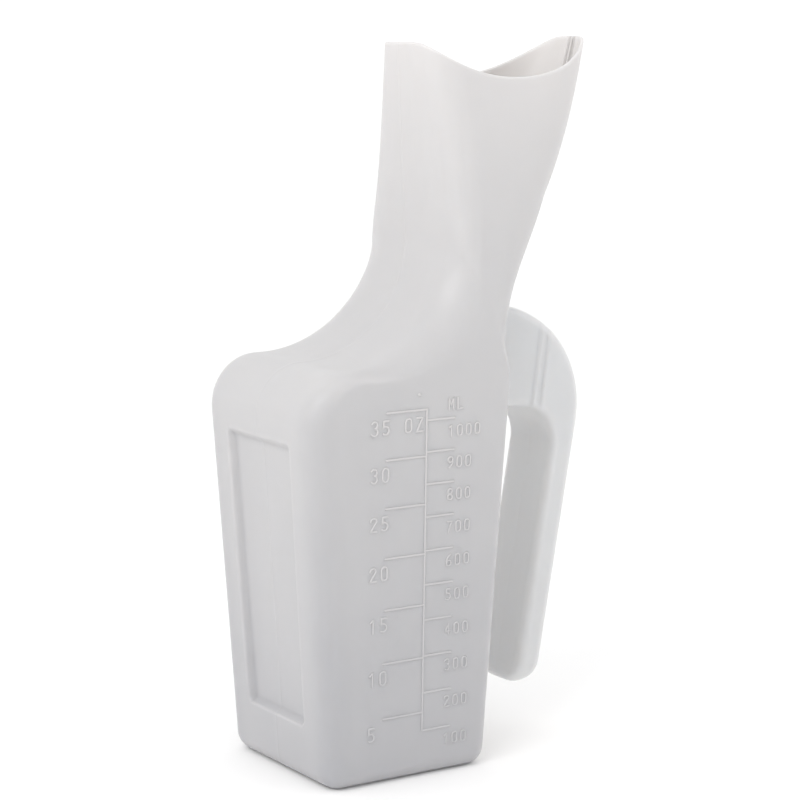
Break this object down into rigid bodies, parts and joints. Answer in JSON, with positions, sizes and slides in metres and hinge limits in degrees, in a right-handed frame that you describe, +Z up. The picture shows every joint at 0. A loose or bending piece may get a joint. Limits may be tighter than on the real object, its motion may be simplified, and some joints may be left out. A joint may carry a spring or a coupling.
{
  "type": "urine bottle",
  "caption": "Blow-moulded female urine bottle: tapered square reservoir, slanted neck with a saddle-shaped mouth, and a hollow hook handle.",
  "frame": {"origin": "middle of the base, on the surface that the bottle stands on", "axes": "+Z up; +X towards the handle; -Y is the face with the scale; the moulding, scale apart, is symmetric about the XZ plane"},
  "size_m": [0.1588, 0.0865, 0.301],
  "materials": {
    "milky_polyethylene": "satin, milky translucent natural polyethylene"
  },
  "bodies": {
    "root": {"reservoir": "milky_polyethylene", "shoulder_neck": "milky_polyethylene", "mouth_funnel": "milky_polyethylene", "hook_handle": "milky_polyethylene", "parting_seam": "milky_polyethylene", "scale_line": "milky_polyethylene", "ounce_lines": "milky_polyethylene", "ounce_numerals": "milky_polyethylene", "millilitre_lines": "milky_polyethylene", "millilitre_numerals": "milky_polyethylene", "moulding_pip": "milky_polyethylene"}
  },
  "joints": []
}
